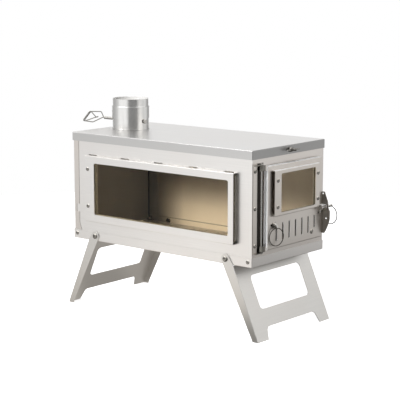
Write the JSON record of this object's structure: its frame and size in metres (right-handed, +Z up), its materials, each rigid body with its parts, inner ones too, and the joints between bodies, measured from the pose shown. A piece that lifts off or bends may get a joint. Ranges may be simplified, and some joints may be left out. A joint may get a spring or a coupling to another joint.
{
  "type": "tent wood stove",
  "caption": "Folding wood-burning tent stove: rectangular sheet-steel firebox with a long side window, a hinged glazed door with air slider, a flue collar with damper, and two fold-out legs.",
  "frame": {"origin": "on the ground, under the middle of the whole outline", "axes": "+X along the firebox towards the door, +Y away from the long window, +Z up"},
  "size_m": [0.4936, 0.2139, 0.366],
  "materials": {
    "body_steel": "satin stainless sheet, fine grain along the sheet",
    "lid_steel": "satin stainless sheet, fine grain",
    "door_steel": "satin stainless sheet, a little darker and warmer",
    "leg_steel": "satin stainless sheet",
    "flue_steel": "bright rolled tube",
    "damper_steel": "satin steel",
    "latch_steel": "dark blasted steel",
    "wire_steel": "bright drawn wire",
    "rod_steel": "bright turned steel",
    "screw_steel": "bright turned steel",
    "grate_steel": "plain steel sheet",
    "window_pane": "clear heat-resistant glass",
    "gasket_fibre": "black glass-fibre gasket"
  },
  "bodies": {
    "root": {"base_tray": "body_steel", "tray_screws": "screw_steel", "leg_pivot_screws": "screw_steel", "window_side_wall": "body_steel", "back_side_wall": "body_steel", "rear_end_wall": "body_steel", "door_end_wall": "body_steel", "window_frame": "body_steel", "window_glass": "window_pane", "window_gasket": "gasket_fibre", "window_frame_screws": "screw_steel", "hinge_strip": "door_steel", "hinge_strip_screws": "screw_steel", "hinge_rod": "rod_steel", "latch_keeper": "door_steel", "fire_grate": "grate_steel", "lid": "lid_steel", "lid_stud": "rod_steel", "flue_collar": "flue_steel", "flue_band": "flue_steel"},
    "wing_nut": {"lid_wing_nut": "rod_steel"},
    "damper": {"damper_shaft": "damper_steel", "damper_plate": "damper_steel", "damper_screws": "screw_steel", "damper_shaft_nut": "rod_steel", "damper_handle": "wire_steel"},
    "door": {"door_pan": "door_steel", "door_window_frame": "door_steel", "door_glass": "window_pane", "door_gasket": "gasket_fibre", "door_frame_screws": "screw_steel", "vent_guide_screw": "screw_steel", "latch_bracket": "latch_steel", "latch_pin": "rod_steel"},
    "air_slider": {"vent_slider": "door_steel", "vent_knob": "rod_steel"},
    "air_slider_ring": {"vent_ring": "wire_steel"},
    "latch": {"latch_handle": "latch_steel"},
    "latch_pull_ring": {"latch_ring": "wire_steel"},
    "leg_front": {"front_leg": "leg_steel"},
    "leg_rear": {"rear_leg": "leg_steel"}
  },
  "joints": [
    {"name": "front_leg_fold", "type": "hinge", "parent": "root", "child": "leg_front", "pos_m": [0.1638, 0, 0.1295], "axis": [0, 1, 0], "range_deg": [0, 113]},
    {"name": "rear_leg_fold", "type": "hinge", "parent": "root", "child": "leg_rear", "pos_m": [-0.1302, 0, 0.1295], "axis": [0, -1, 0], "range_deg": [0, 113]},
    {"name": "door_swing", "type": "hinge", "parent": "root", "child": "door", "pos_m": [0.22, -0.0795, 0.216], "axis": [0, 0, -1], "range_deg": [0, 100]},
    {"name": "air_slide", "type": "slide", "parent": "door", "child": "air_slider", "axis": [0, -1, 0], "range_m": [-0.0012, 0.0077]},
    {"name": "air_ring_swing", "type": "hinge", "parent": "air_slider", "child": "air_slider_ring", "pos_m": [0.2291, -0.0503, 0.181], "axis": [-0.2419, -0.9703, 0], "range_deg": [0, 60]},
    {"name": "latch_rock", "type": "hinge", "parent": "door", "child": "latch", "pos_m": [0.2308, 0.08675, 0.198], "axis": [0, -1, 0], "range_deg": [0, 12]},
    {"name": "latch_ring_swing", "type": "hinge", "parent": "door", "child": "latch_pull_ring", "pos_m": [0.2308, 0.0999, 0.19775], "axis": [0.9925, -0.1219, 0], "range_deg": [0, 90]},
    {"name": "wing_nut_turn", "type": "hinge", "parent": "root", "child": "wing_nut", "pos_m": [0.2181, 0, 0.3035], "axis": [1, 0, 0], "continuous": true},
    {"name": "damper_turn", "type": "hinge", "parent": "root", "child": "damper", "pos_m": [-0.1358, 0, 0.3265], "axis": [1, 0, 0], "continuous": true}
  ]
}
